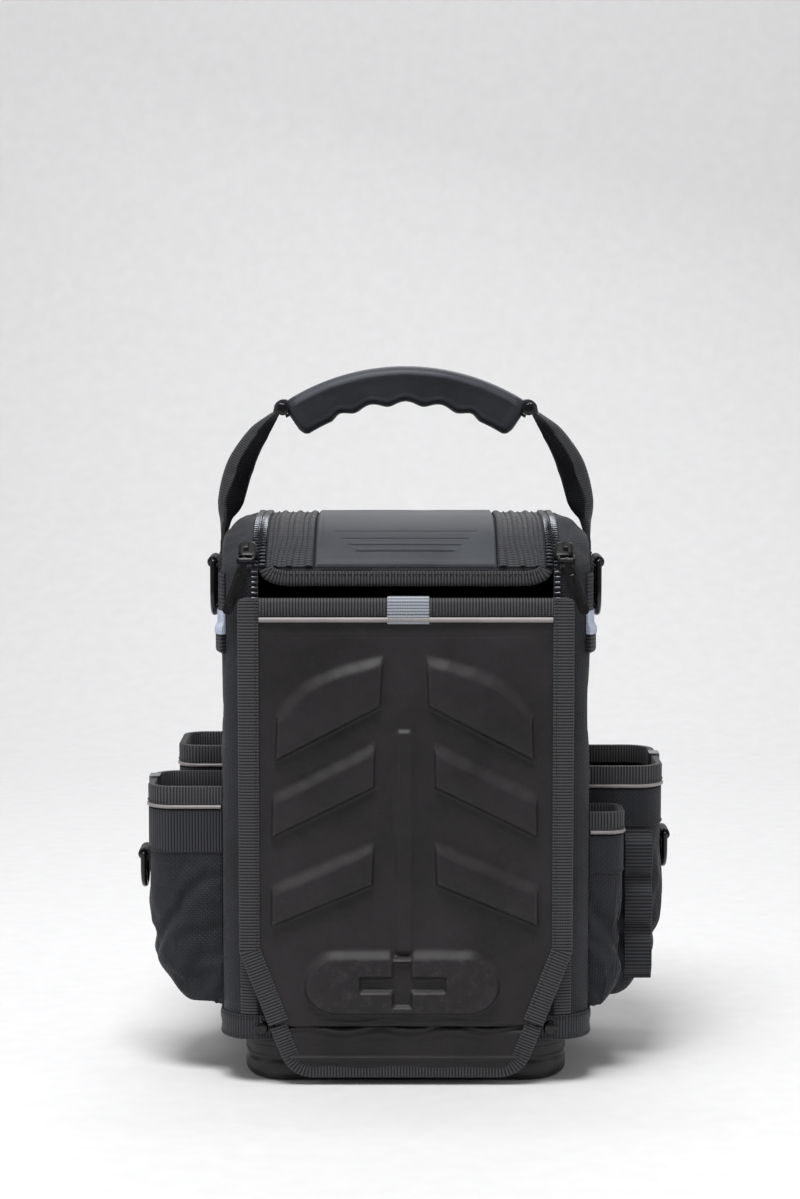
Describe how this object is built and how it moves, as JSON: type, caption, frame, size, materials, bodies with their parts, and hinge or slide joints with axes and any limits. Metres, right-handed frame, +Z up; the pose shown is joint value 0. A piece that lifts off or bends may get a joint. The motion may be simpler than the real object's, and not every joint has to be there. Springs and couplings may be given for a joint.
{
  "type": "soft-sided tool caddy",
  "caption": "Upright soft-sided tool caddy with a moulded base tub, zipped domed lid, padded front panel, side pockets and a rubber grip on webbing straps.",
  "frame": {"origin": "centre of the underside of the base tub, on the floor", "axes": "+Z up, -Y towards the front panel, +X to the viewer's right"},
  "size_m": [0.3592, 0.207, 0.4665],
  "materials": {
    "tub_plastic": "fine textured moulding",
    "woven_nylon": "heavy woven nylon",
    "binding_tape": "grosgrain tape",
    "webbing": "ribbed webbing",
    "lining": "plain woven lining",
    "board": "lined board",
    "moulded_foam": "matt moulded foam",
    "lid_rubber": "satin moulded rubber",
    "grip_rubber": "soft matt rubber",
    "grip_core_plastic": "moulded",
    "zip_metal": "gunmetal",
    "gloss_hardware": "gloss",
    "black_rivet": "black",
    "clip_steel": "spring steel",
    "reflective_piping": "reflective",
    "silver_webbing": "silver grey webbing",
    "white_patch": "plain white"
  },
  "bodies": {
    "carrier": {"base_tub": "tub_plastic", "body_shell": "woven_nylon", "base_band": "webbing", "band_rivets": "black_rivet", "corner_bindings": "binding_tape", "mouth_zip": "zip_metal", "centre_divider": "board", "inner_pockets_front": "lining", "inner_pockets_rear": "lining", "rear_welt": "binding_tape", "strap_anchors": "webbing", "ring_tab_left": "webbing", "ring_tab_right": "webbing", "side_patches": "white_patch", "pocket_left_front": "woven_nylon", "pocket_left_rear": "woven_nylon", "pocket_right_front": "woven_nylon", "pocket_right_rear": "woven_nylon", "rim_bindings": "binding_tape", "pocket_pipings": "reflective_piping", "pocket_bands": "webbing", "tool_loops": "webbing", "tape_clips": "clip_steel", "pocket_ring_loops": "webbing", "apron": "moulded_foam", "apron_binding": "binding_tape", "zip_sliders": "gloss_hardware"},
    "lid": {"lid_shell": "woven_nylon", "lid_pad": "lid_rubber", "lid_webbing": "webbing", "lid_binding": "binding_tape", "lid_zip": "zip_metal"},
    "front_panel": {"front_sheet": "moulded_foam", "chevron_pads": "moulded_foam", "lumbar_pad": "moulded_foam", "panel_binding": "binding_tape", "panel_piping": "reflective_piping", "pull_tab": "silver_webbing"},
    "handle": {"strap_left": "webbing", "strap_right": "webbing", "grip_core": "grip_core_plastic", "grip_cover": "grip_rubber", "grip_rods": "gloss_hardware"},
    "d_ring_left": {"d_ring_left": "gloss_hardware"},
    "d_ring_right": {"d_ring_right": "gloss_hardware"},
    "pocket_ring_left": {"pocket_ring_left": "gloss_hardware"},
    "pocket_ring_right": {"pocket_ring_right": "gloss_hardware"},
    "zip_pull_left": {"zip_pull_left": "gloss_hardware"},
    "zip_pull_right": {"zip_pull_right": "gloss_hardware"}
  },
  "joints": [
    {"name": "lid_open", "type": "hinge", "parent": "carrier", "child": "lid", "pos_m": [0, 0.095, 0.332], "axis": [-1, 0, 0], "range_deg": [0, 22]},
    {"name": "handle_swing", "type": "hinge", "parent": "carrier", "child": "handle", "pos_m": [0, 0, 0.336], "axis": [-1, 0, 0], "range_deg": [-45, 45]},
    {"name": "front_panel_fold", "type": "hinge", "parent": "carrier", "child": "front_panel", "pos_m": [0, -0.1044, 0.04], "axis": [1, 0, 0], "range_deg": [0, 90]},
    {"name": "d_ring_left_swing", "type": "hinge", "parent": "carrier", "child": "d_ring_left", "pos_m": [-0.125, -0.0615, 0.341], "axis": [0, 1, 0], "range_deg": [0, 150]},
    {"name": "d_ring_right_swing", "type": "hinge", "parent": "carrier", "child": "d_ring_right", "pos_m": [0.125, -0.0615, 0.341], "axis": [0, -1, 0], "range_deg": [0, 150]},
    {"name": "pocket_ring_left_swing", "type": "hinge", "parent": "carrier", "child": "pocket_ring_left", "pos_m": [-0.174, -0.037, 0.144], "axis": [0, 1, 0], "range_deg": [0, 150]},
    {"name": "pocket_ring_right_swing", "type": "hinge", "parent": "carrier", "child": "pocket_ring_right", "pos_m": [0.177, 0.019, 0.147], "axis": [0, -1, 0], "range_deg": [0, 150]},
    {"name": "zip_pull_left_swing", "type": "hinge", "parent": "carrier", "child": "zip_pull_left", "pos_m": [-0.1028, -0.0979, 0.3442], "axis": [-1, 0, 0], "range_deg": [0, 150]},
    {"name": "zip_pull_right_swing", "type": "hinge", "parent": "carrier", "child": "zip_pull_right", "pos_m": [0.1028, -0.0979, 0.3442], "axis": [-1, 0, 0], "range_deg": [0, 150]}
  ]
}
